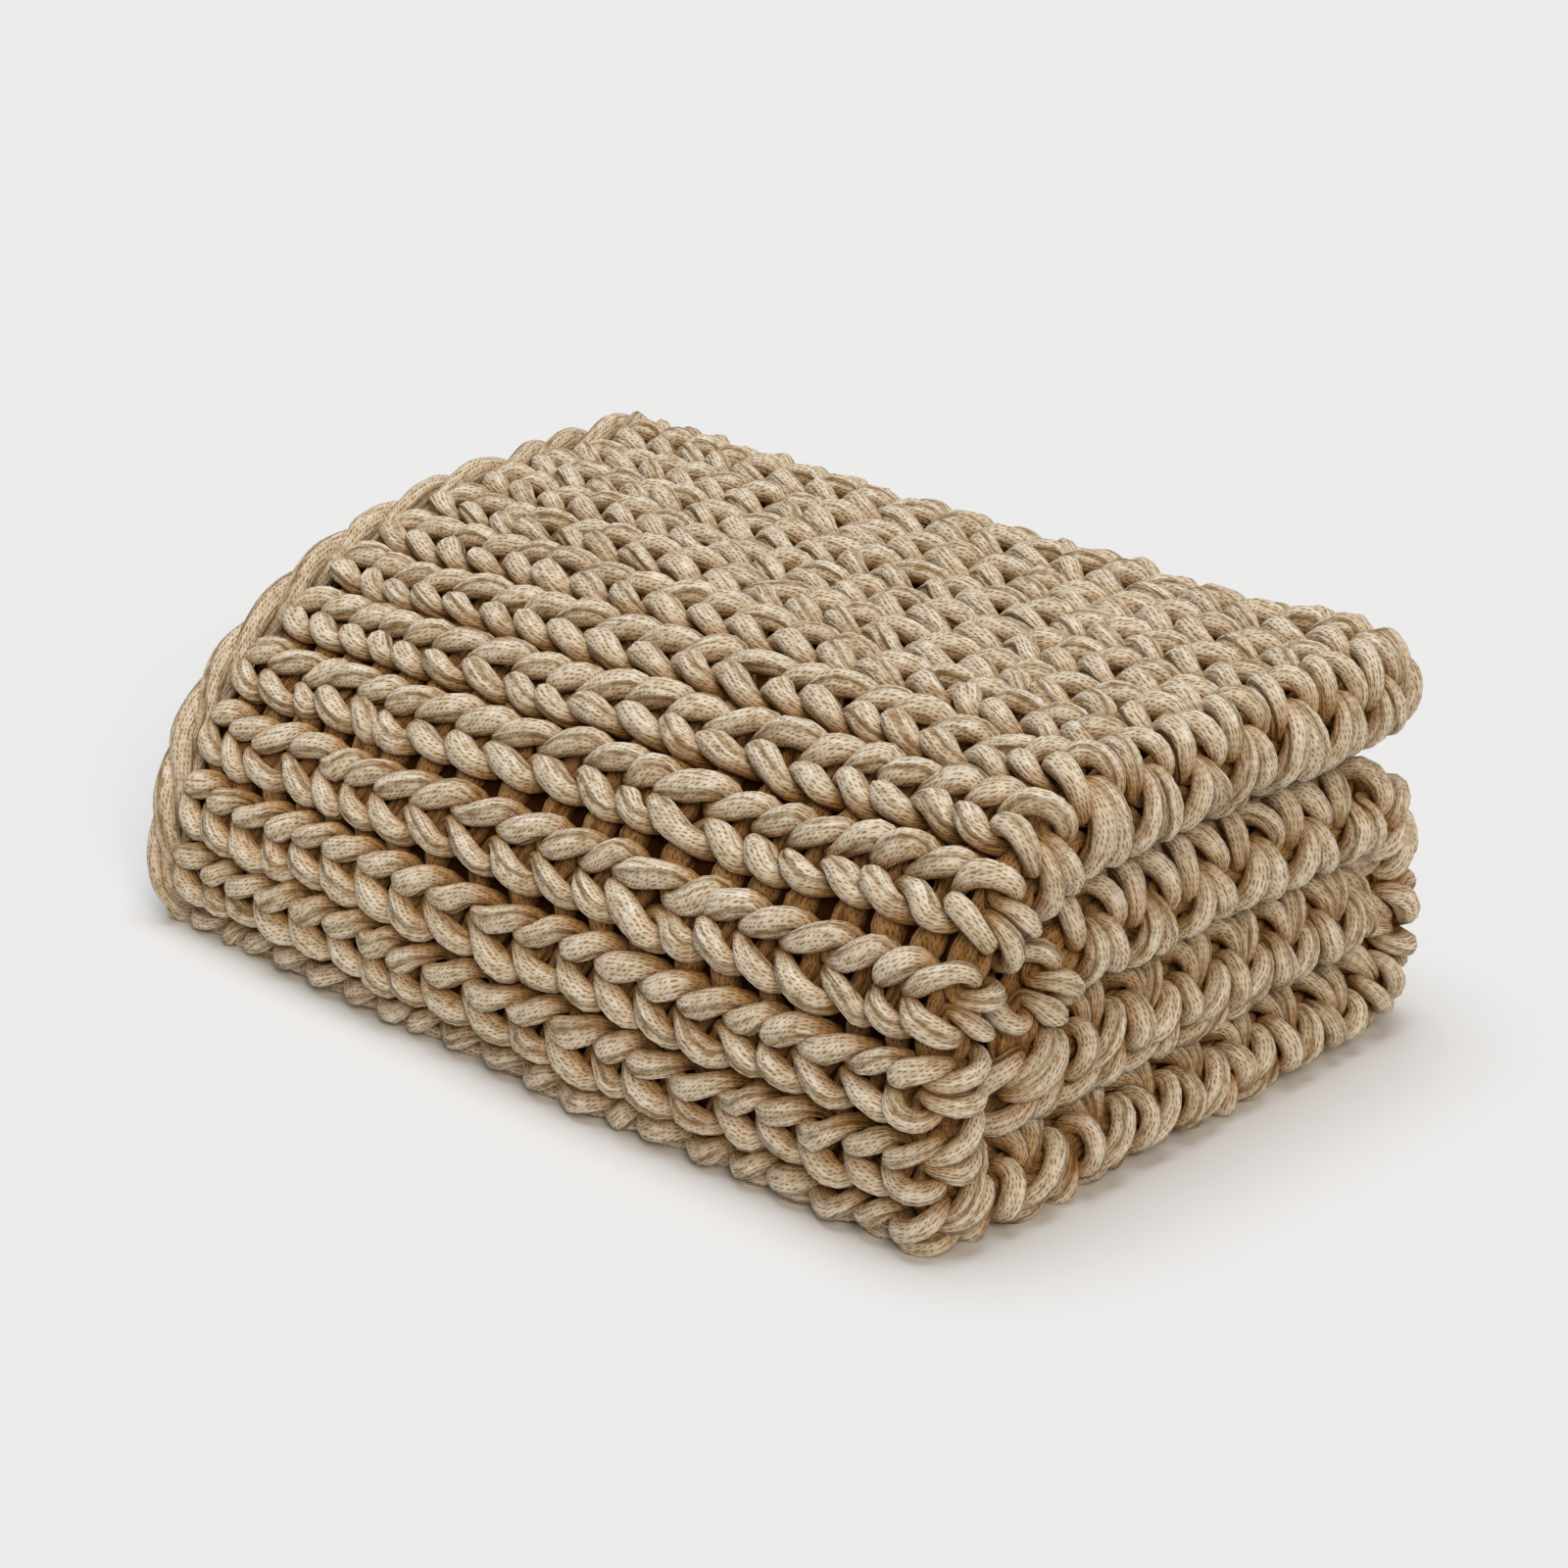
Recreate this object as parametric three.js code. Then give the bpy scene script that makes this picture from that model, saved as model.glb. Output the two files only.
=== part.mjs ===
// Folded chunky knit throw, one knitted cloth.
// Millimetres, +Z up, resting on z = 0, ribs of the knitting along X, folded front towards -Y.
// The throw is doubled end over end first, so each fold is two layers with a round nose at +X.
// The doubled throw is then rolled up flat across Y into four folds: over the top and down the front,
// back along the floor, up round the back, and forward and back again inside.
import * as THREE from 'three';

// Cloth
const CLOTH = 19.6; // thickness of one knitted layer
const LAYER_GAP = 1.4; // air between the two layers of a fold
const FOLD_GAP = 1.6; // air between one fold and the next
const WALES = 37; // ribs of the knitting across the throw
const GROOVE = 4.5; // depth of the grooves beside each row of stitches
const EDGE_THICKNESS = 0.62; // share of the thickness left at a free edge
const EDGE_WIDTH = 9; // width of the rounding along a free edge

// Pile
const TOP_BACK = 153; // y of the free edge on top
const TURN_BACK = 115; // y where the throw starts to turn up at the back
const TURN_REACH = 0.78; // depth of the back turn as a share of its half height
const TURN_BULGE = 2.5; // 2 turns round the back in an ellipse, more is squarer
const TAIL_BACK = 117; // y of the free edge inside
const TOE = 9; // run of the rounding between the front and the floor
const LEAST_TOE = 3; // that run at the tightest fold
const SETTLE = 1.17; // lower folds are pressed flatter than upper ones

// Cross sections of the pile from its left end to its right end
const SECTIONS = [
  { x: -250, crown: 167, shoulder: 70, front: -159, widest: 28, bulge: 1.9 },
  { x: -120, crown: 173, shoulder: 38, front: -165, widest: 24, bulge: 1.92 },
  { x: 60, crown: 174, shoulder: -15, front: -165, widest: 24, bulge: 2.05 },
  { x: 250, crown: 178, shoulder: -50, front: -157, widest: 24, bulge: 2.3 },
];

// Stretches of the throw in the order they follow one another, with the ribs in each
const STRETCHES = [
  { name: 'over', wales: 12.75 }, // top fold and front, down to the floor
  { name: 'under', wales: 7.25 }, // bottom fold
  { name: 'turn', wales: 3.75 }, // turn up at the back
  { name: 'inner', wales: 13.25 }, // second fold forward, third fold back to the free edge
];

// Free left edge and right nose of the cloth, by rib across the throw
const ENDS = [
  { wale: 0, left: -246, nose: 249 },
  { wale: 2, left: -244, nose: 253 },
  { wale: 7, left: -253, nose: 250 },
  { wale: 10, left: -249, nose: 251 },
  { wale: 12, left: -233, nose: 253 },
  { wale: 13, left: -220, nose: 257 },
  { wale: 14.25, left: -222, nose: 262 },
  { wale: 19, left: -232, nose: 258 },
  { wale: 22, left: -237, nose: 255 },
  { wale: 28, left: -241, nose: 253 },
  { wale: 33, left: -238, nose: 256 },
  { wale: 37, left: -240, nose: 253 },
];

// Sampling
const SAMPLES_PER_WALE = 4;
const NOSE_STEPS = 6;
const OUTER_STEPS = 5;
const INNER_STEPS = 3;
const LENGTH_STEPS = 240;

const HALF_FOLD = CLOTH + LAYER_GAP / 2;
const PILE = 8 * HALF_FOLD + 3 * FOLD_GAP;
const NOSE_RADIUS = (CLOTH + LAYER_GAP) / 2;
const OUTER_DEPTH = HALF_FOLD;
const INNER_DEPTH = 3 * HALF_FOLD + FOLD_GAP;
const TURN_HALF_HEIGHT = 2 * HALF_FOLD + FOLD_GAP;
const OUTER_ENDS = { top: TOP_BACK, floor: TURN_BACK };
const INNER_ENDS = { top: TURN_BACK, floor: TAIL_BACK };

// Value of one column of a table at a place along another, straight between rows
function lookUp(table, along, place, column) {
  const last = table.length - 1;
  if (place <= table[0][along]) return table[0][column];
  if (place >= table[last][along]) return table[last][column];
  const after = table.findIndex((row) => row[along] >= place);
  const [a, b] = [table[after - 1], table[after]];
  const share = (place - a[along]) / (b[along] - a[along]);
  return a[column] + share * (b[column] - a[column]);
}

function sectionAt(x) {
  const section = {};
  for (const column of ['crown', 'shoulder', 'front', 'widest', 'bulge']) {
    section[column] = lookUp(SECTIONS, 'x', x, column);
  }
  return section;
}

// Height of a level of the pile, given as a share of it, once the lower folds have settled
function settled(level, section) {
  return section.crown * level ** SETTLE;
}

// Point of the cross section at a depth below the outer surface.
// run: 0-1 top from its back end forward, 1-2 upper front, 2-3 lower front, 3-4 floor to its back end.
function wrapPoint(section, depth, ends, run) {
  const share = depth / PILE;
  const shrink = 1 - 2 * share;
  const front = section.front + depth;
  const top = 1 - share;
  const widest = (section.widest / section.crown) * shrink + share;
  const toe = TOE * shrink + LEAST_TOE;
  const power = 2 / section.bulge;
  if (run <= 1) {
    return [ends.top + (section.shoulder - ends.top) * run, settled(top, section)];
  }
  if (run <= 2) {
    const angle = ((run - 1) * Math.PI) / 2;
    const y = section.shoulder - (section.shoulder - front) * Math.sin(angle) ** power;
    const level = widest + (top - widest) * Math.abs(Math.cos(angle)) ** power;
    return [y, settled(level, section)];
  }
  if (run <= 3) {
    const angle = ((run - 2) * Math.PI) / 2;
    const level = widest - (widest - share) * Math.sin(angle);
    return [front + toe - toe * Math.cos(angle), settled(level, section)];
  }
  const toeEnd = front + toe;
  return [toeEnd + (ends.floor - toeEnd) * (run - 3), settled(share, section)];
}

// Run reached after a share of the length of the first few runs, measured at one depth
function runAtShare(section, depth, ends, runs, share) {
  const lengths = [0];
  let previous = wrapPoint(section, depth, ends, 0);
  for (let step = 1; step <= LENGTH_STEPS; step += 1) {
    const point = wrapPoint(section, depth, ends, (runs * step) / LENGTH_STEPS);
    lengths.push(lengths[step - 1] + Math.hypot(point[0] - previous[0], point[1] - previous[1]));
    previous = point;
  }
  const goal = share * lengths[LENGTH_STEPS];
  const after = Math.max(1, lengths.findIndex((length) => length >= goal - 1e-9));
  const part = (goal - lengths[after - 1]) / (lengths[after] - lengths[after - 1]);
  return (runs * (after - 1 + part)) / LENGTH_STEPS;
}

// Stretch of the throw that holds a rib, and how far along the stretch the rib is
function stretchAt(wale) {
  let start = 0;
  for (const { name, wales } of STRETCHES) {
    if (wale <= start + wales + 1e-9) return { name, share: (wale - start) / wales };
    start += wales;
  }
  return { name: 'inner', share: 1 };
}

// Point of the pile: rib across the throw, x, and height above the middle of its fold
function foldPoint(wale, x, rise) {
  const section = sectionAt(x);
  const { name, share } = stretchAt(wale);
  let yz;
  if (name === 'over') {
    const run = runAtShare(section, OUTER_DEPTH, OUTER_ENDS, 3, share);
    yz = wrapPoint(section, OUTER_DEPTH - rise, OUTER_ENDS, run);
  } else if (name === 'under') {
    yz = wrapPoint(section, OUTER_DEPTH - rise, OUTER_ENDS, 3 + share);
  } else if (name === 'turn') {
    const radius = TURN_HALF_HEIGHT + rise;
    const power = 2 / TURN_BULGE;
    const [across, up] = [Math.sin(Math.PI * share), Math.cos(Math.PI * share)];
    const level = (INNER_DEPTH - radius * Math.sign(up) * Math.abs(up) ** power) / PILE;
    yz = [TURN_BACK + TURN_REACH * radius * Math.abs(across) ** power, settled(level, section)];
  } else {
    const run = runAtShare(section, INNER_DEPTH, INNER_ENDS, 4, share);
    yz = wrapPoint(section, INNER_DEPTH - rise, INNER_ENDS, run);
  }
  return new THREE.Vector3(x, yz[0], yz[1]);
}

// Stations along the ribs: down the outer layer, round the nose, back along the inner layer
function stations() {
  const list = [{ layer: 'outer', share: 0 }];
  for (let step = 0; step <= OUTER_STEPS; step += 1) {
    list.push({ layer: 'outer', share: step / OUTER_STEPS, inset: EDGE_WIDTH });
  }
  for (let step = 1; step < NOSE_STEPS; step += 1) {
    list.push({ layer: 'nose', angle: (Math.PI * step) / NOSE_STEPS });
  }
  for (let step = INNER_STEPS; step >= 0; step -= 1) {
    list.push({ layer: 'inner', share: step / INNER_STEPS, inset: EDGE_WIDTH });
  }
  list.push({ layer: 'inner', share: 0 });
  return list;
}

// Point of the cloth: rib, station along it, and distance out from the middle of the cloth
function clothPoint(wale, station, out) {
  const left = lookUp(ENDS, 'wale', wale, 'left');
  const noseCentre = lookUp(ENDS, 'wale', wale, 'nose') - HALF_FOLD;
  const reach = NOSE_RADIUS + out;
  if (station.layer === 'nose') {
    const x = noseCentre + reach * Math.sin(station.angle);
    return foldPoint(wale, x, reach * Math.cos(station.angle));
  }
  const start = left + (station.inset ?? 0);
  const x = start + (noseCentre - start) * station.share;
  return foldPoint(wale, x, station.layer === 'outer' ? reach : -reach);
}

// Depth of the groove in the knit face; the cloth is pressed flat where it lies on the floor
function grooveAt(column, station, wale) {
  const onFloor = station.layer === 'outer' && stretchAt(wale).name === 'under';
  return column % 2 === 0 && !onFloor ? GROOVE : 0;
}

// Closed skin over the knit face, the inner face and the four free edges
function clothGeometry() {
  const rows = stations();
  const columns = WALES * SAMPLES_PER_WALE;
  const positions = [];
  const faces = [];
  for (let column = 0; column <= columns; column += 1) {
    const wale = column / SAMPLES_PER_WALE;
    rows.forEach((station, row) => {
      const atEdge = column === 0 || column === columns || row === 0 || row === rows.length - 1;
      const half = (CLOTH / 2) * (atEdge ? EDGE_THICKNESS : 1);
      const groove = atEdge ? 0 : grooveAt(column, station, wale);
      positions.push(...clothPoint(wale, station, half - groove).toArray());
      positions.push(...clothPoint(wale, station, -half).toArray());
    });
  }
  const knit = (column, row) => 2 * (column * rows.length + row);
  const back = (column, row) => knit(column, row) + 1;
  const quad = (a, b, c, d) => faces.push(a, b, c, a, c, d);
  const end = rows.length - 1;
  for (let column = 0; column < columns; column += 1) {
    const next = column + 1;
    for (let row = 0; row < end; row += 1) {
      quad(knit(column, row), knit(next, row), knit(next, row + 1), knit(column, row + 1));
      quad(back(column, row), back(column, row + 1), back(next, row + 1), back(next, row));
    }
    quad(knit(column, 0), back(column, 0), back(next, 0), knit(next, 0));
    quad(knit(column, end), knit(next, end), back(next, end), back(column, end));
  }
  for (let row = 0; row < end; row += 1) {
    quad(knit(0, row), knit(0, row + 1), back(0, row + 1), back(0, row));
    quad(knit(columns, row), back(columns, row), back(columns, row + 1), knit(columns, row + 1));
  }
  const geometry = new THREE.BufferGeometry();
  geometry.setAttribute('position', new THREE.Float32BufferAttribute(positions, 3));
  geometry.setIndex(faces);
  return geometry;
}

// The pile is centred over the origin and stands on z = 0
function centred(geometry) {
  geometry.computeBoundingBox();
  const { min, max } = geometry.boundingBox;
  geometry.translate(-(min.x + max.x) / 2, -(min.y + max.y) / 2, -min.z);
  geometry.computeVertexNormals();
  return geometry;
}

const cotton = new THREE.MeshStandardMaterial({ color: '#b39c7a', roughness: 0.95, metalness: 0 });
const cloth = new THREE.Mesh(centred(clothGeometry()), cotton);
cloth.name = 'knit_throw';

const throwPile = new THREE.Group();
throwPile.name = 'folded_throw';
throwPile.add(cloth);

export default throwPile;
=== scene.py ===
"""Looks of the folded chunky knit throw: each stitch of its tube yarn, laid on the folds of the solid."""
import math

import bpy
import numpy as np
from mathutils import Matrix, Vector


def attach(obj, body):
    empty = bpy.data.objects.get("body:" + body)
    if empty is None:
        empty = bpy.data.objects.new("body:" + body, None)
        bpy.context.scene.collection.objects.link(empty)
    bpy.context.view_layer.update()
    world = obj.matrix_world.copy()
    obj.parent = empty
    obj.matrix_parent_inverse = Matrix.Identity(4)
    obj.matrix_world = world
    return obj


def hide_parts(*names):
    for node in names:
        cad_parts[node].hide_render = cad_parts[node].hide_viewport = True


MM = 0.001

# Cloth, in millimetres
CLOTH = 19.6  # thickness of one layer
LAYER_GAP = 1.4  # air between the two layers of a fold
FOLD_GAP = 1.6  # air between one fold and the next
HALF_FOLD = CLOTH + LAYER_GAP / 2
NOSE_RADIUS = (CLOTH + LAYER_GAP) / 2  # of the half circle that the middle of the cloth makes at the nose
PILE = 8 * HALF_FOLD + 3 * FOLD_GAP  # four folds on each other
OUTER_DEPTH = HALF_FOLD  # of the middle of the outer fold, below the surface of the pile
INNER_DEPTH = 3 * HALF_FOLD + FOLD_GAP  # of the middle of the inner fold

# Pile, in millimetres
TOP_BACK = 153  # y of the back end of the top
TURN_BACK = 115  # y where the turn round the back begins and ends
TURN_REACH = 0.78  # depth of that turn, as a share of its half height
TURN_BULGE = 2.5  # power of its superellipse
TURN_HALF_HEIGHT = 2 * HALF_FOLD + FOLD_GAP
TAIL_BACK = 117  # y of the tail, the inner end of the throw
TOE = 9  # how far the curve under the front goes back, at the surface of the pile
LEAST_TOE = 3  # added to it at every depth
SETTLE = 1.17  # power of a height in the pile, as lower folds are pressed flatter
PILE_CENTRE = (4.5, -0.24)  # x and y of the middle of the pile, which comes to the origin

# Cross sections of the pile from its left end to its right end, in millimetres
SECTIONS = {
    "x": (-250, -120, 60, 250),
    "crown": (167, 173, 174, 178),  # height of the top
    "shoulder": (70, 38, -15, -50),  # y where the top ends and the front begins
    "front": (-159, -165, -165, -157),  # y of the foremost point
    "widest": (28, 24, 24, 24),  # height of the foremost point before the pile settles
    "bulge": (1.9, 1.92, 2.05, 2.3),  # power of the superellipse down the front
}

# Ribs at which one stretch of the throw ends and the next begins: over, under, turn, inner
STRETCH_ENDS = (0, 12.75, 20, 23.75, 37)

# Free left edge and right nose of the cloth by rib across the throw, in millimetres
ENDS = {
    "wale": (0, 2, 7, 10, 12, 13, 14.25, 19, 22, 28, 33, 37),
    "left": (-246, -244, -253, -249, -233, -220, -222, -232, -237, -241, -238, -240),
    "nose": (249, 253, 250, 251, 253, 257, 262, 258, 255, 253, 256, 253),
}

# Table of lengths round the pile: reach in millimetres, and how many places, shares and runs it has
TABLE_REACH = 280
TABLE_PLACES = 113
TABLE_SHARES = 401
TABLE_RUNS = 1201
TABLE_STOP = 1.001  # places before a side's count, so that a next place is always there

# Knitting
WALES = 37  # ribs across the throw
COURSES = 43  # rows that fit along a rib, chain edges included
ROWS = 40  # rows of stitches between the chain edges
FIRST_ROW = 1.1  # place of the first row's stitches, in rows from the edge
WALE_PITCH = 29.9  # mm, at the middle of a fold
EASY_PITCH = 33  # mm, at which the ribs leave the yarn round
WALE_SHIFT = 0.2  # in ribs, from the side edge to the first bar
COURSE_EASE = 0.12  # rows lie closer at the edge and the nose, wider between
NOSE_EASE = 0.12  # by which rows lie closer still round the nose
NOSE_REACH = 0.06  # share of the rows over which they do so
NOSE_THINNING = 0.12  # by which the yarn is thinner where it is stretched round the nose
ROW_PITCH = 24  # mm, along a rib
YARN = 10.0  # mm, diameter of the tube yarn
GIRTH = math.pi * YARN  # mm, round the yarn

# Edges
EDGE_INSET = 0.8  # in rows from the free edge, where the dark sheet of painted shade and the side edges end
CHAIN_END = 0.1  # in ribs from the first and last bars
CHAIN_HEIGHT = 4.5  # mm, above the middle of the cloth
SIDE_PLACE = 0.1  # in ribs past the first and last bars
SIDE_HEIGHT = -2  # mm, above the middle of the cloth
ROPE_STRANDS = 3
ROPE_RADIUS = 5.6  # mm, from the middle of an edge to its strands
ROPE_GIRTH = 1.04  # a strand's mean share of the yarn's girth
ROPE_SWELL = 0.14  # by which it is thicker at its highest
EDGE_PAINTED_SHADE = 8.5  # mm, height whose painted shade all of an edge has, a light one, as it lies open to the light
OPEN_ROWS = 1.3  # in rows from the free edge, where yarn behind the face lies open to the light too, and gets the edges' painted shade
OPEN_FADE = 0.4  # in rows, over which its own painted shade comes back

# Chain edges lie further in at the start than along the rest: rib, and rows from the free edge
CHAIN = {
    "wale": (0, 4, 8, 37),
    "place": (1.0, 0.95, 0.65, 0.65),
}

# Ribs lie a little off even places: rib, and ribs of shift towards the tail
DRIFT = {
    "wale": (0, 6, 8.5, 10, 11, 12, 12.5, 13, 14, 15),
    "shift": (-0.08, -0.05, 0.0, 0.17, 0.14, 0.0, -0.1, -0.28, -0.15, 0.0),
}

# Left half of a stitch: ribs across, rows along, millimetres out, and share of the yarn's girth
HALF_STITCH = (
    (0.00, -0.34, -4.4, 1.45),  # middle of the bar between two ribs
    (0.24, -0.31, -4.6, 1.05),
    (0.41, -0.16, -1.4, 0.80),  # comes forward through the row before
    (0.40, 0.08, 3.4, 0.90),
    (0.31, 0.45, 6.9, 1.20),  # leg on the face
    (0.20, 0.82, 5.8, 1.12),
    (0.18, 1.06, 2.0, 0.94),  # goes back behind the row after
    (0.28, 1.24, -3.8, 0.86),
    (0.50, 1.38, -5.0, 0.95),  # middle of the head
)

# Chance by which each point of a stitch is off, in the same four measures
STITCH_CHANCE = (0.008, 0.02, 0.2, 0.04)
STITCH_SEED = 40  # of a piece that starts at row 0, and one more for each row after it

# Waves of uneven knitting: stitches to a wave, size, and seed
ACROSS_WAVES = ((3.0, 0.06, 12), (1.1, 0.07, 13))  # sizes in ribs
ALONG_WAVES = ((3.0, 0.22, 14), (1.1, 0.22, 15))  # sizes in rows
OUT_WAVES = ((3.0, 1.2, 16), (1.1, 1.6, 17))  # sizes in millimetres
GIRTH_WAVES = ((0.9, 0.12, 18),)  # sizes as a share of the yarn's girth
CALM_ROWS = 2.5  # in rows from the free edge, where the waves along the ribs fade out
LATTICE = 64  # random numbers along each side of the lattice
LATTICE_START = 8  # place on the lattice of the first rib and row

# Knot of the yarn's end: millimetres out, rib and row of its middle, and its reach in ribs and rows
KNOT_RISE = 3
KNOT_PLACE = (0.1, 2.0)
KNOT_REACH = (0.7, 2.2)

# Yarn as a soft tube
DENTS = ((2, 0.07, 31), (3, 0.05, 32))  # waves to the turn, share of the radius, and seed
DENT_TURN = 4  # radians by which dents wander round the yarn
DENT_SIZE = 0.8  # in stitches, over which they do so
PRESS_LIMITS = (0.7, 1.0)  # least and most of its height that the yarn keeps
SQUEEZE_LIMITS = (0.8, 1.05)  # least and most of its width
PROBE_OUT = 0.5  # mm to each side, for the direction of the face
PROBE_ACROSS = 0.1  # ribs to each side, for the pitch
TEXTURE_SHIFT = 7.3  # girths from the texture of one path to that of the next

# How finely the yarn is drawn: steps between two points of a stitch, and sides
FACE_DETAIL = (2, 10)
NOSE_DETAIL = (3, 10)
UNDER_DETAIL = (1, 8)
EDGE_DETAIL = (8, 10)  # steps to a stitch, and sides
FACE_PIECES = 3  # into which the rows on the face are split
NOSE_ROWS = (18, 23)  # first row round the nose, and first row of the layer under the face

# Dark sheet behind the stitches, painted shade for what shows between them
SHADE_SHEET_FACES = (-6.6, -8.4)  # mm out from the middle of the cloth
SHADE_SHEET_INSET = 0.45  # in ribs from the side edges
SHADE_SHEET_GRID = (112, 83)  # points across the ribs and along them
SHADE_SHEET_REST = 0.2  # mm, least height above the floor

# Camera, in metres, millimetres and degrees
CAMERA_PLACE = (1.1261, -1.1444, 0.7565)
CAMERA_DOWN = 22.7
CAMERA_TURN = 44.1
LENS = 90
SENSOR = 36

# Studio: strength of the surroundings, half the floor's width in metres, and the lights
SURROUNDINGS = 0.19
FLOOR_REACH = 12.0
LIGHTS = (  # name, colour, strength, spread in degrees, and direction it comes from
    ("key", "#eff5ff", 2.36, 44, (-0.12, 0.08, 1.0)),
    ("fill", "#ffeedb", 1.6, 30, (0.83, -0.5, 0.74)),
)


def column(table, key, name, place):
    """Column of a table at a place along another column, straight between its rows."""
    return np.interp(place, table[key], table[name])


def section_at(x):
    """Cross section's sizes at x, straight between the tabled ones."""
    return {name: column(SECTIONS, "x", name, x) for name in SECTIONS if name != "x"}


def settled(level, section):
    """Height of a level of the pile: its share of the whole raised to a power, times the crown."""
    return section["crown"] * np.clip(level, 0, None) ** SETTLE


def wrap_point(section, depth, ends, run):
    """Point of the cross section at a depth below its outer surface, as arrays y and z.

    Run 0 to 1 is straight along the top from its back end forward. 1 to 2 is a quarter of a superellipse
    down the front, 2 to 3 a quarter of an ellipse under it, and 3 to 4 straight along the floor to its
    back end. Deeper curves shrink towards the middle height.
    """
    top_end, floor_end = ends
    share = depth / PILE
    shrink = 1 - 2 * share
    front = section["front"] + depth
    top = 1 - share
    widest = section["widest"] / section["crown"] * shrink + share
    toe = TOE * shrink + LEAST_TOE
    power = 2 / section["bulge"]
    upper = np.clip(run - 1, 0, 1) * np.pi / 2
    lower = np.clip(run - 2, 0, 1) * np.pi / 2
    y = np.select(
        [run <= 1, run <= 2, run <= 3],
        [
            top_end + (section["shoulder"] - top_end) * run,
            section["shoulder"] - (section["shoulder"] - front) * np.sin(upper) ** power,
            front + toe - toe * np.cos(lower),
        ],
        front + toe + (floor_end - front - toe) * (run - 3),
    )
    level = np.select(
        [run <= 1, run <= 2, run <= 3],
        [
            top,
            widest + (top - widest) * np.abs(np.cos(upper)) ** power,
            widest - (widest - share) * np.sin(lower),
        ],
        share,
    )
    return y, settled(level, section)


class RunTable:
    """Run reached after a share of the length of the first few runs, tabled over x and share."""

    def __init__(self, depth, ends, runs):
        self.x = np.linspace(-TABLE_REACH, TABLE_REACH, TABLE_PLACES)
        self.share = np.linspace(0, 1, TABLE_SHARES)
        run = np.linspace(0, runs, TABLE_RUNS)
        y, z = wrap_point(section_at(self.x[:, None]), depth, ends, run[None, :])
        length = np.cumsum(np.hypot(np.diff(y, axis=1), np.diff(z, axis=1)), axis=1)
        length = np.pad(length, ((0, 0), (1, 0)))
        self.run = np.array([np.interp(self.share * row[-1], row, run) for row in length])

    def at(self, x, share):
        """Blend of the four table values around each x and share."""
        a = np.clip((x - self.x[0]) / (self.x[1] - self.x[0]), 0, TABLE_PLACES - TABLE_STOP)
        b = np.clip(share * (TABLE_SHARES - 1), 0, TABLE_SHARES - TABLE_STOP)
        i, j = a.astype(int), b.astype(int)
        a, b = a - i, b - j
        near = self.run[i, j] * (1 - b) + self.run[i, j + 1] * b
        far = self.run[i + 1, j] * (1 - b) + self.run[i + 1, j + 1] * b
        return near * (1 - a) + far * a


OUTER_ENDS = (TOP_BACK, TURN_BACK)
INNER_ENDS = (TURN_BACK, TAIL_BACK)
OVER_RUNS = RunTable(OUTER_DEPTH, OUTER_ENDS, 3)
INNER_RUNS = RunTable(INNER_DEPTH, INNER_ENDS, 4)


def fold_point(wale, x, rise):
    """Point of the pile from the rib, x, and the height above the middle of its fold.

    The four stretches are the outer wrap, the floor, half a superellipse round the back, and the inner
    wrap. Past the first and last ribs the cloth goes straight on to the back.
    """
    section = section_at(x)
    _, over, under, turn, inner = STRETCH_ENDS
    turn_share = np.clip((wale - under) / (turn - under), 0, 1)
    radius = TURN_HALF_HEIGHT + rise
    power = 2 / TURN_BULGE
    across, up = np.sin(np.pi * turn_share), np.cos(np.pi * turn_share)
    run = OVER_RUNS.at(x, np.clip(wale / over, 0, 1))
    over_y, over_z = wrap_point(section, OUTER_DEPTH - rise, OUTER_ENDS, run)
    run = 3 + np.clip((wale - over) / (under - over), 0, 1)
    under_y, under_z = wrap_point(section, OUTER_DEPTH - rise, OUTER_ENDS, run)
    turn_y = TURN_BACK + TURN_REACH * radius * np.abs(across) ** power
    turn_z = settled((INNER_DEPTH - radius * np.sign(up) * np.abs(up) ** power) / PILE, section)
    run = INNER_RUNS.at(x, np.clip((wale - turn) / (inner - turn), 0, 1))
    inner_y, inner_z = wrap_point(section, INNER_DEPTH - rise, INNER_ENDS, run)
    stretches = [wale <= over, wale <= under, wale <= turn]
    y = np.select(stretches, [over_y, under_y, turn_y], inner_y)
    z = np.select(stretches, [over_z, under_z, turn_z], inner_z)
    beyond = WALE_PITCH * (np.minimum(wale, 0) * -1 + np.maximum(wale - WALES, 0))
    return np.stack([x - PILE_CENTRE[0], y + beyond - PILE_CENTRE[1], z], axis=-1)


def nose_bell(course):
    """Bell curve over the rows, 1 at the nose and falling off within its reach."""
    return np.exp(-(((course / COURSES - 0.5) / NOSE_REACH) ** 2))


def rows_from_edge(course):
    """Rows to the nearer of the two free edges."""
    return np.minimum(course, COURSES - course)


def cloth_point(wale, course, out):
    """Point of the cloth from the rib, the row and the distance out from its middle.

    A row's place along the rib follows the share of the rows less a sine, so rows crowd at the edges and
    the nose, and less the distance from the nose times a bell curve, so they crowd most round the nose.
    The place runs out along one layer, round a half circle at the nose, and back along the other.
    """
    left = column(ENDS, "wale", "left", wale)
    centre = column(ENDS, "wale", "nose", wale) - HALF_FOLD
    layer = centre - left
    length = 2 * layer + np.pi * NOSE_RADIUS
    share = course / COURSES
    crowding = (share - 0.5) * nose_bell(course)
    place = length * (share - COURSE_EASE * np.sin(4 * np.pi * share) / (4 * np.pi) - NOSE_EASE * crowding)
    reach = NOSE_RADIUS + out
    angle = np.clip((place - layer) / NOSE_RADIUS, 0, np.pi)
    back = np.maximum(place - layer - np.pi * NOSE_RADIUS, 0)
    x = left + np.minimum(place, layer) - back + reach * np.sin(angle)
    return fold_point(wale, x, reach * np.cos(angle))


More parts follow.
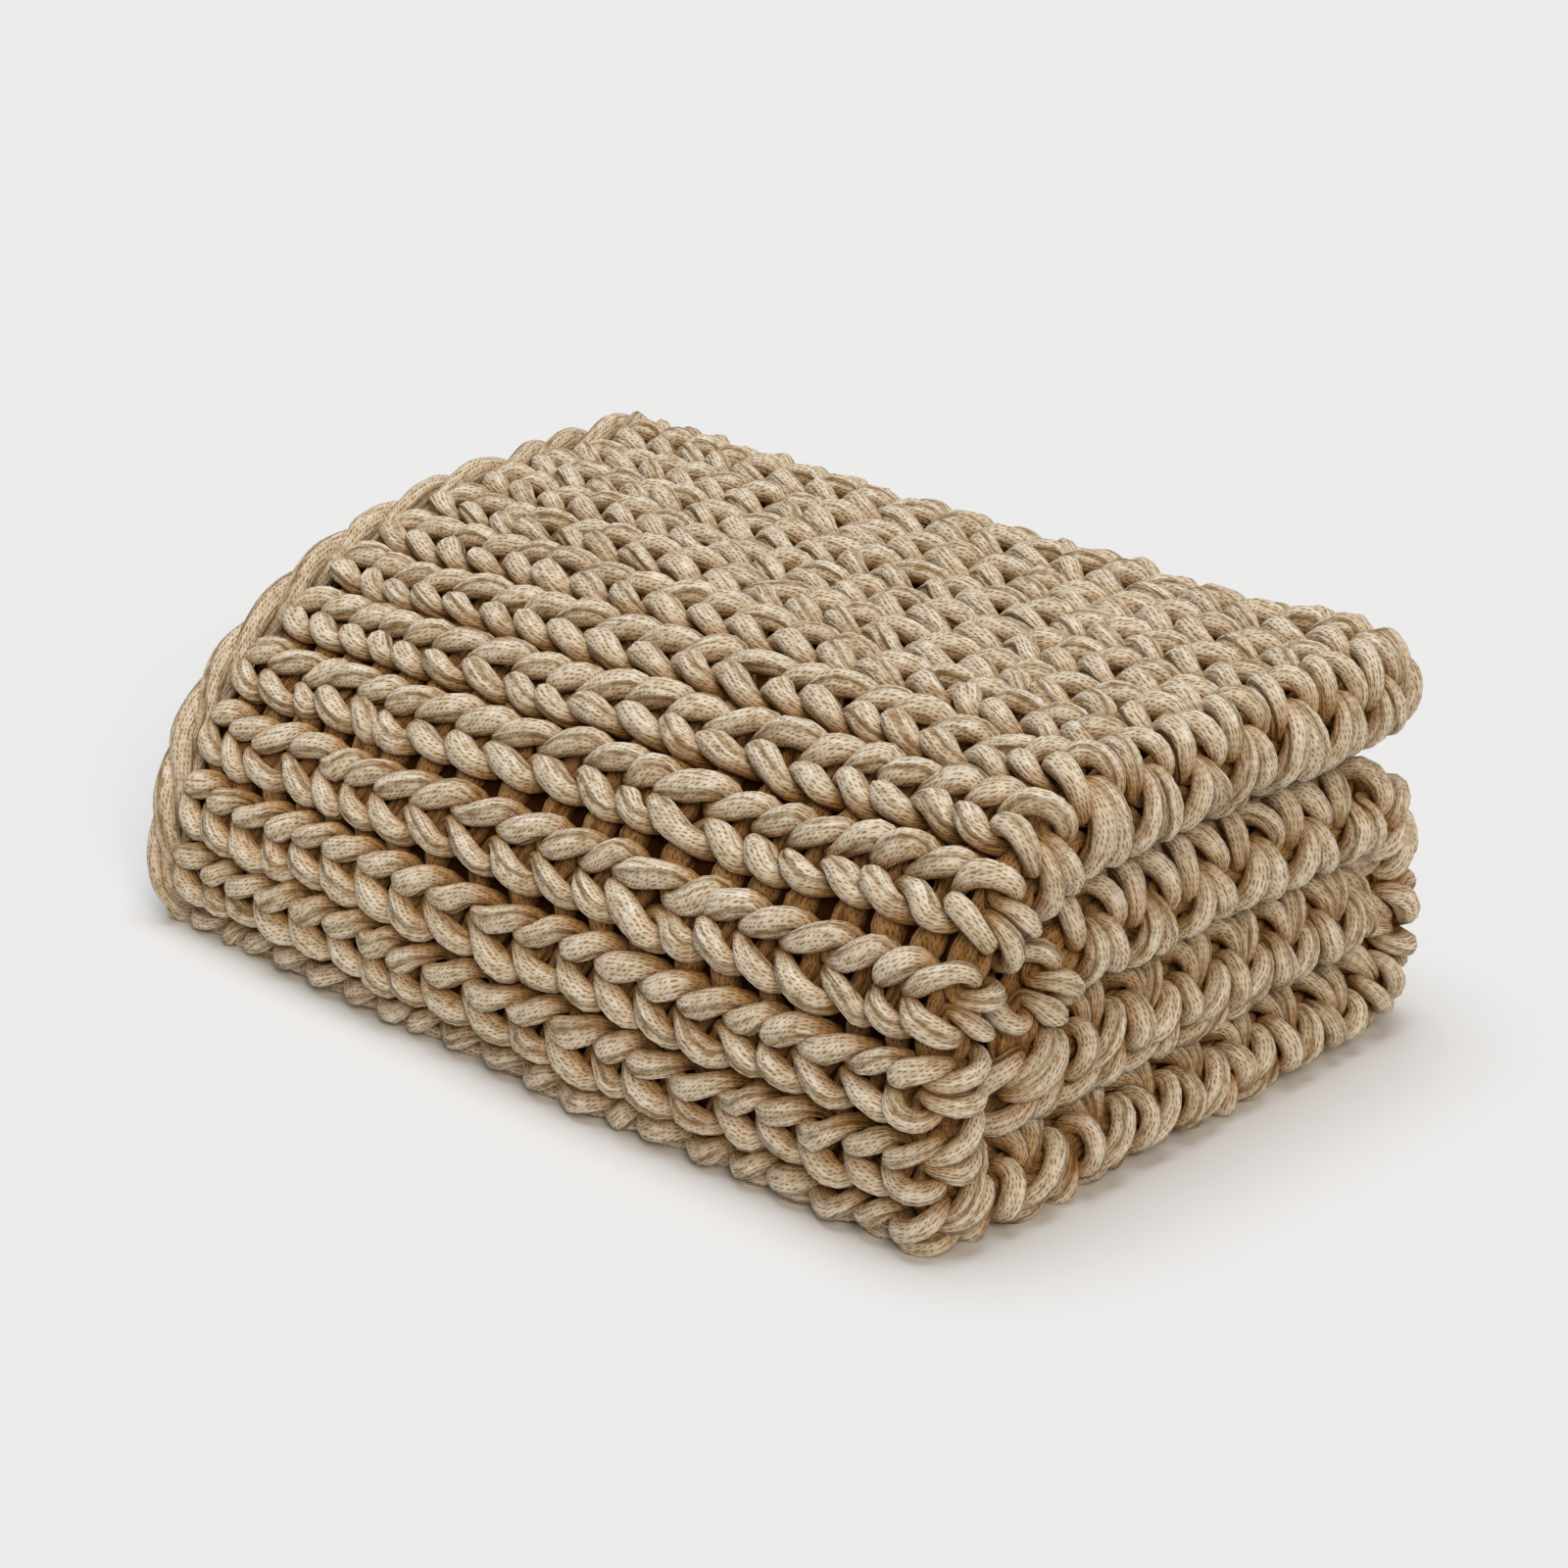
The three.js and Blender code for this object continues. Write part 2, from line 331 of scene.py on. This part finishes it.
def lattice_noise(wale, course, cell, seed):
    """Smooth random waves from -1 to 1: random numbers on a square lattice, eased between its corners."""
    lattice = np.random.default_rng(seed).uniform(-1, 1, (LATTICE, LATTICE))
    a, b = wale / cell + LATTICE_START, course / cell + LATTICE_START
    i, j = np.floor(a).astype(int), np.floor(b).astype(int)
    a, b = a - i, b - j
    a, b = a * a * (3 - 2 * a), b * b * (3 - 2 * b)
    i, j, i_next, j_next = (k % LATTICE for k in (i, j, i + 1, j + 1))
    near = lattice[i, j] * (1 - b) + lattice[i, j_next] * b
    far = lattice[i_next, j] * (1 - b) + lattice[i_next, j_next] * b
    return near * (1 - a) + far * a


def waves(table, wale, course):
    """Sum of a table's random waves, each times its size."""
    return sum(size * lattice_noise(wale, course, cell, seed) for cell, size, seed in table)


def hand_knit(wale, course, out):
    """Cloth point with the slow unevenness of hand knitting.

    Each coordinate gets waves about three stitches long and others about one stitch long; those along the
    ribs fade out at the chain edges. The ribs drift as tabled, and a bell curve raises the corner where the
    knitting starts, for the knot of the yarn's end.
    """
    wale = wale + WALE_SHIFT
    wale = wale + column(DRIFT, "wale", "shift", wale)
    across = waves(ACROSS_WAVES, wale, course)
    along = waves(ALONG_WAVES, wale, course) * np.clip(rows_from_edge(course) / CALM_ROWS, 0, 1)
    lift = waves(OUT_WAVES, wale, course)
    ribs_off = (wale - KNOT_PLACE[0]) / KNOT_REACH[0]
    rows_off = (course - KNOT_PLACE[1]) / KNOT_REACH[1]
    knot = KNOT_RISE * np.exp(-(ribs_off**2) - rows_off**2)
    return cloth_point(wale + across, course + along, out + lift + knot)


def unit(vectors):
    """Vectors at length one, each divided by its own length; one of no length stays so."""
    return vectors / np.maximum(np.linalg.norm(vectors, axis=-1, keepdims=True), 1e-9)


def tube_faces(paths, points, sides):
    """Quads between each ring and the next, and a cap on each end, for tubes whose rings come in order."""
    index = np.arange(paths * points * sides).reshape(paths, points, sides)
    ahead = np.roll(index, -1, axis=1)
    corners = [index, np.roll(index, -1, axis=2), np.roll(ahead, -1, axis=2), ahead]
    quads = np.stack(corners, axis=-1)[:, :-1].reshape(-1, 4)
    caps = np.concatenate([index[:, 0, ::-1], index[:, -1, :]])
    return quads, caps


def tube_places(path, sides):
    """Texture places of a tube's quads: the share of the way around, and the length so far in girths."""
    paths, points = path.shape[:2]
    step = np.linalg.norm(np.roll(path, -1, axis=1) - path, axis=-1)
    start = (np.cumsum(step, axis=1) - step)[:, :-1] / GIRTH + np.arange(paths)[:, None] * TEXTURE_SHIFT
    end = start + step[:, :-1] / GIRTH
    around = np.arange(sides + 1) / sides
    shape = (paths, points - 1, sides)
    low, high = (np.broadcast_to(part, shape) for part in (around[:-1], around[1:]))
    start, end = (np.broadcast_to(part[:, :, None], shape) for part in (start, end))
    return np.stack([low, start, high, start, high, end, low, end], axis=-1).reshape(-1, 4, 2)


def tube(wale, course, out, radius, sides):
    """Round tubes along paths given in the cloth's own coordinates, one path in each row of the arrays.

    Each ring lies across its path, and the face of the cloth sets where a ring starts, so the yarn does
    not twist. A ring's radius gets waves of two and three to the turn, for a soft tube's dents. Rings
    flatten as far as the cloth is pressed there, narrow where the ribs crowd, and stay above the floor.
    Returns vertices, quads, the end caps, the quads' texture places, and each vertex's height out from the
    middle of the cloth, which sets how dark its painted shade is.
    """
    path = hand_knit(wale, course, out)
    above, below = (hand_knit(wale, course, out + step) for step in (PROBE_OUT, -PROBE_OUT))
    face = (above - below) / (2 * PROBE_OUT)
    press = np.clip(np.linalg.norm(face, axis=-1), *PRESS_LIMITS)
    after, before = (hand_knit(wale + step, course, out) for step in (PROBE_ACROSS, -PROBE_ACROSS))
    pitch = np.linalg.norm(after - before, axis=-1) / (2 * PROBE_ACROSS)
    squeeze = np.clip(pitch / EASY_PITCH, *SQUEEZE_LIMITS)
    tangent = unit(np.gradient(path, axis=1))
    side = unit(np.cross(tangent, face))
    up = np.cross(side, tangent)
    angle = np.pi + 2 * np.pi * np.arange(sides) / sides
    dents = 1 + sum(
        size * np.cos(count * angle + DENT_TURN * lattice_noise(wale, course, DENT_SIZE, seed)[:, :, None])
        for count, size, seed in DENTS
    )
    ring = (
        side[:, :, None, :] * (np.sin(angle) * squeeze[:, :, None])[..., None]
        + up[:, :, None, :] * (np.cos(angle) * press[:, :, None])[..., None]
    )
    vertices = path[:, :, None, :] + (radius[:, :, None] * dents)[..., None] * ring
    vertices[..., 2] = np.maximum(vertices[..., 2], 0)
    upright = np.einsum("ijk,ijk->ij", up, unit(face))
    height = out[:, :, None] + radius[:, :, None] * np.cos(angle) * upright[:, :, None]
    quads, caps = tube_faces(*wale.shape, sides)
    return vertices.reshape(-1, 3), quads, caps, tube_places(path, sides), height.ravel()


def joined(parts):
    """Several tubes as one: indices move up by the vertices before them."""
    vertices, quads, caps, places, height = zip(*parts)
    starts = np.cumsum([0] + [len(part) for part in vertices[:-1]])
    quads = [part + start for part, start in zip(quads, starts)]
    caps = [part + start for part, start in zip(caps, starts)]
    return [np.concatenate(part) for part in (vertices, quads, caps, places, height)]


def mesh_piece(name, vertices, quads, caps, places, height, material):
    """Mesh from arrays in millimetres, with a texture place at each corner of its quads and a height out
    from the middle of the cloth at each vertex, for the painted shade."""
    mesh = bpy.data.meshes.new(name)
    counts = np.concatenate([np.full(len(quads), 4), np.full(len(caps), caps.shape[1])])
    corners = np.concatenate([quads.ravel(), caps.ravel()])
    mesh.vertices.add(len(vertices))
    mesh.vertices.foreach_set("co", (vertices * MM).ravel())
    mesh.loops.add(len(corners))
    mesh.loops.foreach_set("vertex_index", corners)
    mesh.polygons.add(len(counts))
    mesh.polygons.foreach_set("loop_start", np.cumsum(counts) - counts)
    mesh.polygons.foreach_set("use_smooth", np.ones(len(counts), bool))
    layer = mesh.uv_layers.new(name="yarn")
    layer.data.foreach_set("uv", np.concatenate([places.ravel(), np.zeros(2 * caps.size)]))
    mesh.attributes.new("height", "FLOAT", "POINT").data.foreach_set("value", height)
    mesh.update(calc_edges=True)
    mesh.materials.append(material)
    piece = bpy.data.objects.new(name, mesh)
    bpy.context.scene.collection.objects.link(piece)
    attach(piece, "root")
    return piece


def smooth(points, steps):
    """Curve through points along the second axis, leaving out the first and last: each span is the
    Catmull-Rom cubic of the two points before and the two after it."""
    before, start, end, after = (points[:, k : points.shape[1] - 3 + k, None] for k in range(4))
    t = (np.arange(steps) / steps)[:, None]
    curve = 0.5 * (
        2 * start
        + (end - before) * t
        + (2 * before - 5 * start + 4 * end - after) * t**2
        + (3 * start - before - 3 * end + after) * t**3
    )
    return curve.reshape(len(points), -1, points.shape[2])


def knitted_rows(rows, steps, sides):
    """Rows of stocking stitch: a smooth curve through the points of half a stitch, the same points mirrored,
    and so on across the ribs, each point moved a little by chance.

    The yarn's girth gets waves, and a bell curve thins it round the nose. Near the free edges its height
    goes over to the one height that gives an edge its painted shade, a light one.
    """
    half = np.array(HALF_STITCH)
    mirrored = half[-2:0:-1] * (-1, 1, 1, 1) + (1, 0, 0, 0)
    stitch = np.concatenate([half, mirrored])
    count = WALES + 2
    points = np.tile(stitch, (count, 1))
    points[:, 0] += np.repeat(np.arange(count) - 1, len(stitch))
    chance = np.random.default_rng(int(rows[0]) + STITCH_SEED)
    points = points + chance.normal(0, STITCH_CHANCE, (len(rows), *points.shape))
    # The curve leaves out its end points, so one comes before the first bar's middle and two after the last's
    points = points[:, len(stitch) - 1 : -len(stitch) + 3]
    wale, along, out, thick = np.moveaxis(smooth(points, steps), -1, 0)
    course = np.asarray(rows)[:, None] + FIRST_ROW + along
    thick = thick * (1 + waves(GIRTH_WAVES, wale, course))
    thick = thick * (1 - NOSE_THINNING * nose_bell(course))
    *strands, height = tube(wale, course, out, YARN / 2 * thick, sides)
    # Painted shade: yarn near the free edges takes the edges' light painted shade
    from_edge = np.repeat(rows_from_edge(course).ravel(), sides)
    open_share = np.clip((OPEN_ROWS - from_edge) / OPEN_FADE, 0, 1)
    return *strands, height + (EDGE_PAINTED_SHADE - height) * open_share


def edge_rope(along, place, outward, pitch, lengthwise, lift):
    """Edge of the knitting, a rope of three strands that turn about each other once in three stitches.

    Each strand is a helix round a line along the edge: its place across the edge follows a cosine and its
    height, from lift up, a sine. A strand is thicker on its upper half turn, where nothing presses it.
    Along and across are rows and ribs on an edge that runs lengthwise, and ribs and rows on the others;
    outward is the side that the free edge is on. All of an edge has one height, so one light painted shade.
    """
    turn = 2 * np.pi / ROPE_STRANDS * (along + np.arange(ROPE_STRANDS)[:, None])
    along = np.broadcast_to(along, turn.shape)
    across = place + outward * ROPE_RADIUS * np.cos(turn) / pitch
    out = lift + ROPE_RADIUS * np.sin(turn)
    radius = YARN / 2 * (ROPE_GIRTH + ROPE_SWELL * np.sin(turn))
    wale, course = (across, along) if lengthwise else (along, across)
    *strands, height = tube(wale, course, out, radius, EDGE_DETAIL[1])
    # Painted shade: the whole edge is given one light painted shade
    return *strands, np.full(height.shape, EDGE_PAINTED_SHADE)


def knitted_edges():
    """Chain edges across the ribs at both ends of the throw, and the edges down its two sides, as one."""
    steps = EDGE_DETAIL[0]
    wales = np.linspace(CHAIN_END, WALES - CHAIN_END, steps * WALES)
    chain = column(CHAIN, "wale", "place", wales)
    courses = np.linspace(EDGE_INSET, COURSES - EDGE_INSET, steps * COURSES)
    return joined(
        [
            edge_rope(wales, chain, -1, ROW_PITCH, False, CHAIN_HEIGHT),
            edge_rope(wales, COURSES - chain, 1, ROW_PITCH, False, CHAIN_HEIGHT),
            edge_rope(courses, -SIDE_PLACE, -1, WALE_PITCH, True, SIDE_HEIGHT),
            edge_rope(courses, WALES + SIDE_PLACE, 1, WALE_PITCH, True, SIDE_HEIGHT),
        ]
    )


def shade_sheet_mesh():
    """Closed thin sheet behind the stitches, dark as painted shade: a grid of ribs and rows, with a face to
    each side and a rim.
    """
    wale = np.linspace(SHADE_SHEET_INSET, WALES - SHADE_SHEET_INSET, SHADE_SHEET_GRID[0])
    course = np.linspace(EDGE_INSET, COURSES - EDGE_INSET, SHADE_SHEET_GRID[1])
    wale, course = np.meshgrid(wale, course, indexing="ij")
    faces = [cloth_point(wale, course, np.full(wale.shape, out)) for out in SHADE_SHEET_FACES]
    vertices = np.concatenate([face.reshape(-1, 3) for face in faces])
    vertices[:, 2] = np.maximum(vertices[:, 2], SHADE_SHEET_REST)
    index = np.arange(wale.size).reshape(wale.shape)
    corners = [index[:-1, :-1], index[1:, :-1], index[1:, 1:], index[:-1, 1:]]
    grid = np.stack(corners, axis=-1).reshape(-1, 4)
    border = np.concatenate([index[:-1, 0], index[-1, :-1], index[:0:-1, -1], index[0, :0:-1]])
    after = np.roll(border, -1)
    rim = np.stack([border, border + wale.size, after + wale.size, after], axis=-1)
    quads = np.concatenate([grid, grid[:, ::-1] + wale.size, rim])
    flat = np.stack([wale, course], axis=-1).reshape(-1, 2)
    places = flat[quads % wale.size]
    return vertices, quads, np.empty((0, 4), int), places, np.repeat(SHADE_SHEET_FACES, wale.size)


def linear(hex_colour):
    """Linear colour from an sRGB hex value."""
    parts = [int(hex_colour[i : i + 2], 16) / 255 for i in (1, 3, 5)]
    return tuple(p / 12.92 if p <= 0.04045 else ((p + 0.055) / 1.055) ** 2.4 for p in parts) + (1.0,)


def add_node(tree, kind, settings=None, inputs=None):
    """Node of a kind with its settings; an input takes a value or another node's output."""
    node = tree.nodes.new(kind)
    for name, value in (settings or {}).items():
        setattr(node, name, value)
    for name, value in (inputs or {}).items():
        if isinstance(value, bpy.types.NodeSocket):
            tree.links.new(value, node.inputs[name])
        else:
            node.inputs[name].default_value = value
    return node


def cotton_tube_yarn():
    """Brushed cotton yarn, machine-knitted into a soft tube: dry and faintly fuzzy, with no gloss.

    Its own small stitches show as uneven dashes, where a sine around the yarn times a sine along it is high
    and the fibres leave them open. The fibres are noise combed along the yarn. Creases lie where a long
    noise is near its middle. One groove, where the tube folds in, wanders around the yarn with a slow noise.
    Each of these is taken from the fibres in its share, for the tone and then for the relief; the darker
    tone of the creases and the groove is painted shade. The tone is multiplied by a painted shade, which goes
    from brown deep in the cloth, where less light gets in, to white on its face.
    """
    stitch_across, stitch_along = 1.75, 5.0  # mm, drawn a little coarser than the yarn's own knitting
    fibre_across, fibre_along = 1.6, 5.0  # mm, of a tuft of brushed fibres, coarser than one fibre
    creases_around, creases_along = 5.0, 0.8  # waves to a girth, so about 6 and 40 mm
    groove_waves = 0.12  # to a girth, so one in about 260 mm
    groove_span, groove_start = 1.2, -0.1  # turns of the yarn over which the groove wanders
    sway_size, sway_angle = 7, 7.0  # mm, and radians by which the small rows sway
    slant = 0.7  # radians around the yarn for each along it
    dash_contrast, dash_cover, dash_level = 2.0, -3.0, 0.7  # of stitches, of fibres, and of neither
    crease_slope, groove_slope = -14.0, -17.0  # by which they fall off to each side
    # Dashes are the yarn's own; the darker creases and groove in the tone are painted shade
    tone_and_crease_shade_shares = {"dashes": -0.42, "groove": -0.24, "creases": -0.14}
    relief_shares = {"creases": -0.4, "groove": -2.2}
    tone_colours = ((0.1, "#9a7c54"), (0.45, "#d3c5ac"), (0.75, "#e9e1d5"))
    # Painted shade by height in the cloth: brown deep between the stitches, where less light gets in, white
    # on the face
    painted_shade_colours = ((0.0, "#a07c54"), (0.25, "#bd9a70"), (0.55, "#ceac7c"), (1.0, "#ffffff"))
    painted_shade_heights = (-6.0, 10.0)  # mm out from the middle of the cloth, between which the painted shade goes from brown to none

    material = bpy.data.materials.new("brushed cotton tube yarn with painted shade")
    material.use_nodes = True
    tree = material.node_tree
    shader = tree.nodes["Principled BSDF"]
    places = add_node(tree, "ShaderNodeUVMap", {"uv_map": "yarn"})
    split = add_node(tree, "ShaderNodeSeparateXYZ", inputs={0: places.outputs["UV"]})
    coordinates = add_node(tree, "ShaderNodeTexCoord")

    # Small stitches, swaying and slanted round the yarn
    sway = add_node(
        tree,
        "ShaderNodeTexNoise",
        inputs={"Vector": coordinates.outputs["Object"], "Scale": 1 / (sway_size * MM), "Detail": 2.0},
    )
    warp = add_node(
        tree, "ShaderNodeMath", {"operation": "MULTIPLY"}, {0: sway.outputs["Fac"], 1: sway_angle}
    )
    rows = add_node(
        tree,
        "ShaderNodeMath",
        {"operation": "MULTIPLY_ADD"},
        {0: split.outputs["Y"], 1: 2 * math.pi * GIRTH / stitch_along, 2: warp.outputs[0]},
    )
    slanted = add_node(tree, "ShaderNodeMath", {"operation": "MULTIPLY"}, {0: rows.outputs[0], 1: slant})
    columns = add_node(
        tree,
        "ShaderNodeMath",
        {"operation": "MULTIPLY_ADD"},
        {0: split.outputs["X"], 1: 2 * math.pi * round(GIRTH / stitch_across), 2: slanted.outputs[0]},
    )
    column_wave = add_node(tree, "ShaderNodeMath", {"operation": "SINE"}, {0: columns.outputs[0]})
    row_wave = add_node(tree, "ShaderNodeMath", {"operation": "SINE"}, {0: rows.outputs[0]})
    stitches = add_node(
        tree, "ShaderNodeMath", {"operation": "MULTIPLY"}, {0: column_wave.outputs[0], 1: row_wave.outputs[0]}
    )

    # Fibres, and the dashes between the stitches that they leave open
    combed = add_node(
        tree,
        "ShaderNodeMapping",
        inputs={"Vector": places.outputs["UV"], "Scale": (GIRTH / fibre_across, GIRTH / fibre_along, 1.0)},
    )
    fibres = add_node(
        tree, "ShaderNodeTexNoise", inputs={"Vector": combed.outputs[0], "Scale": 1.0, "Detail": 3.0}
    )
    uneven = add_node(
        tree,
        "ShaderNodeMath",
        {"operation": "MULTIPLY_ADD"},
        {0: fibres.outputs["Fac"], 1: dash_cover, 2: dash_level},
    )
    dashes = add_node(
        tree,
        "ShaderNodeMath",
        {"operation": "MULTIPLY_ADD", "use_clamp": True},
        {0: stitches.outputs[0], 1: dash_contrast, 2: uneven.outputs[0]},
    )

    # Creases and the groove: one on a line, and falling off with the distance to each side of it
    stretched = add_node(
        tree,
        "ShaderNodeMapping",
        inputs={"Vector": places.outputs["UV"], "Scale": (creases_around, creases_along, 1.0)},
    )
    folds = add_node(
        tree, "ShaderNodeTexNoise", inputs={"Vector": stretched.outputs[0], "Scale": 1.0, "Detail": 1.0}
    )
    wander = add_node(
        tree,
        "ShaderNodeTexNoise",
        {"noise_dimensions": "1D"},
        {"W": split.outputs["Y"], "Scale": groove_waves, "Detail": 0.0},
    )
    groove_place = add_node(
        tree,
        "ShaderNodeMath",
        {"operation": "MULTIPLY_ADD"},
        {0: wander.outputs["Fac"], 1: groove_span, 2: groove_start},
    )
    patterns = {"dashes": dashes}
    for name, value, line, slope in (
        ("creases", folds.outputs["Fac"], 0.5, crease_slope),
        ("groove", split.outputs["X"], groove_place.outputs[0], groove_slope),
    ):
        aside = add_node(tree, "ShaderNodeMath", {"operation": "SUBTRACT"}, {0: value, 1: line})
        distance = add_node(tree, "ShaderNodeMath", {"operation": "ABSOLUTE"}, {0: aside.outputs[0]})
        patterns[name] = add_node(
            tree,
            "ShaderNodeMath",
            {"operation": "MULTIPLY_ADD", "use_clamp": True},
            {0: distance.outputs[0], 1: slope, 2: 1.0},
        )

    # Tone, with painted shade in the creases and the groove, and relief
    sums = [fibres.outputs["Fac"]]
    for shares in (tone_and_crease_shade_shares, relief_shares):
        total = sums[-1]
        for name, share in shares.items():
            taken = add_node(
                tree,
                "ShaderNodeMath",
                {"operation": "MULTIPLY_ADD"},
                {0: patterns[name].outputs[0], 1: share, 2: total},
            )
            total = taken.outputs[0]
        sums.append(total)
    _, surface, relief = sums
    bump = add_node(tree, "ShaderNodeBump", inputs={"Height": relief, "Strength": 0.8, "Distance": 1.0 * MM})
    tone = add_node(tree, "ShaderNodeValToRGB", inputs={"Fac": surface})
    # Painted shade, from each vertex's height out from the middle of the cloth
    height = add_node(tree, "ShaderNodeAttribute", {"attribute_name": "height"})
    depth = add_node(
        tree,
        "ShaderNodeMapRange",
        inputs={"Value": height.outputs["Fac"], "From Min": painted_shade_heights[0], "From Max": painted_shade_heights[1]},
    )
    painted_shade = add_node(tree, "ShaderNodeValToRGB", inputs={"Fac": depth.outputs[0]})
    for node, colours in ((tone, tone_colours), (painted_shade, painted_shade_colours)):
        stops = node.color_ramp.elements
        for stop, (position, colour) in zip(stops, (colours[0], colours[-1])):
            stop.position = position
            stop.color = linear(colour)
        for position, colour in colours[1:-1]:
            stops.new(position).color = linear(colour)
    colour = add_node(
        tree,
        "ShaderNodeMix",
        {"data_type": "RGBA", "blend_type": "MULTIPLY"},
        {"Factor": 1.0, "A": tone.outputs["Color"], "B": painted_shade.outputs["Color"]},
    )
    tree.links.new(colour.outputs["Result"], shader.inputs["Base Color"])
    tree.links.new(bump.outputs["Normal"], shader.inputs["Normal"])
    shader.inputs["Roughness"].default_value = 0.95
    shader.inputs["Specular IOR Level"].default_value = 0.1
    shader.inputs["Sheen Weight"].default_value = 0.15
    shader.inputs["Sheen Tint"].default_value = linear("#d9bd94")
    shader.inputs["Sheen Roughness"].default_value = 0.6
    return material


def painted_shade_cotton():
    """The same cotton where it lies deep behind the stitches, painted dark brown as shade: plain matte yarn,
    with noise for its tufts."""
    tuft = 4  # mm
    material = bpy.data.materials.new("painted shade of the yarn behind the stitches")
    material.use_nodes = True
    tree = material.node_tree
    shader = tree.nodes["Principled BSDF"]
    coordinates = add_node(tree, "ShaderNodeTexCoord")
    fibres = add_node(
        tree,
        "ShaderNodeTexNoise",
        inputs={"Vector": coordinates.outputs["Object"], "Scale": 1 / (tuft * MM), "Detail": 3.0},
    )
    tone = add_node(tree, "ShaderNodeValToRGB", inputs={"Fac": fibres.outputs["Fac"]})
    # Painted shade: the dark brown of yarn in shadow
    tone.color_ramp.elements[0].color = linear("#361c08")
    tone.color_ramp.elements[1].color = linear("#553210")
    bump = add_node(
        tree,
        "ShaderNodeBump",
        inputs={"Height": fibres.outputs["Fac"], "Strength": 0.6, "Distance": 1.5 * MM},
    )
    tree.links.new(tone.outputs["Color"], shader.inputs["Base Color"])
    tree.links.new(bump.outputs["Normal"], shader.inputs["Normal"])
    shader.inputs["Roughness"].default_value = 1.0
    shader.inputs["Specular IOR Level"].default_value = 0.1
    return material


def pale_floor():
    """Wide square floor of matt paper."""
    material = bpy.data.materials.new("matt paper")
    material.use_nodes = True
    shader = material.node_tree.nodes["Principled BSDF"]
    shader.inputs["Base Color"].default_value = linear("#dfdfdd")
    shader.inputs["Roughness"].default_value = 1.0
    shader.inputs["Specular IOR Level"].default_value = 0.0
    mesh = bpy.data.meshes.new("floor")
    corners = [(x * FLOOR_REACH, y * FLOOR_REACH, 0) for x, y in ((-1, -1), (1, -1), (1, 1), (-1, 1))]
    mesh.from_pydata(corners, [], [(0, 1, 2, 3)])
    mesh.materials.append(material)
    floor = bpy.data.objects.new("floor", mesh)
    bpy.context.scene.collection.objects.link(floor)


def studio_light():
    """White surroundings, a broad cool key light almost overhead, and a weaker warm fill from front right."""
    scene = bpy.context.scene
    world = bpy.data.worlds.new("white studio")
    world.use_nodes = True
    world.node_tree.nodes["Background"].inputs["Color"].default_value = linear("#ffffff")
    world.node_tree.nodes["Background"].inputs["Strength"].default_value = SURROUNDINGS
    scene.world = world
    for name, colour, strength, spread, direction in LIGHTS:
        lamp = bpy.data.lights.new(name, "SUN")
        lamp.color = linear(colour)[:3]
        lamp.energy = strength
        lamp.angle = math.radians(spread)
        light = bpy.data.objects.new(name, lamp)
        light.rotation_euler = Vector(direction).to_track_quat("Z", "Y").to_euler()
        scene.collection.objects.link(light)
    scene.view_settings.view_transform = "Standard"


def photo_camera():
    """Long lens in front of the near right corner, looking down on the pile."""
    data = bpy.data.cameras.new("camera")
    data.lens = LENS
    data.sensor_width = SENSOR
    camera = bpy.data.objects.new("camera", data)
    camera.location = CAMERA_PLACE
    camera.rotation_euler = (math.radians(90 - CAMERA_DOWN), 0, math.radians(CAMERA_TURN))
    bpy.context.scene.collection.objects.link(camera)
    bpy.context.scene.camera = camera


def knitted_throw():
    """Dark sheet of painted shade behind the stitches, in place of the throw's solid, with the rows of
    stitches and the edges on it.

    Flat, the throw is as wide as its ribs, and as long as two layers and the half circle at the nose.
    """
    yarn = cotton_tube_yarn()
    # Dark sheet behind the stitches: painted shade for the gaps between them
    shade_sheet = mesh_piece("knit_shade_sheet", *shade_sheet_mesh(), painted_shade_cotton())
    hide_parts("knit_throw")
    face, nose, under = np.split(np.arange(ROWS), NOSE_ROWS)
    stitches = [
        mesh_piece(f"face_rows_{number}", *knitted_rows(rows, *FACE_DETAIL), yarn)
        for number, rows in enumerate(np.array_split(face, FACE_PIECES), start=1)
    ]
    stitches.append(mesh_piece("nose_rows", *knitted_rows(nose, *NOSE_DETAIL), yarn))
    stitches.append(mesh_piece("under_rows", *knitted_rows(under, *UNDER_DETAIL), yarn))
    stitches.append(mesh_piece("edges", *knitted_edges(), yarn))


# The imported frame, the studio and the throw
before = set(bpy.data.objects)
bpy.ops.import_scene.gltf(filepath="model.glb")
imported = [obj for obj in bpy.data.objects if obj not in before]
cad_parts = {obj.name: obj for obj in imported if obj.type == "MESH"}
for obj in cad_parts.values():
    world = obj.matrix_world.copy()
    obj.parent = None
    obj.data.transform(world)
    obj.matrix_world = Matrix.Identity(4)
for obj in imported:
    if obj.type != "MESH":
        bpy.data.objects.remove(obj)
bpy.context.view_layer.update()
photo_camera()
studio_light()
pale_floor()
knitted_throw()
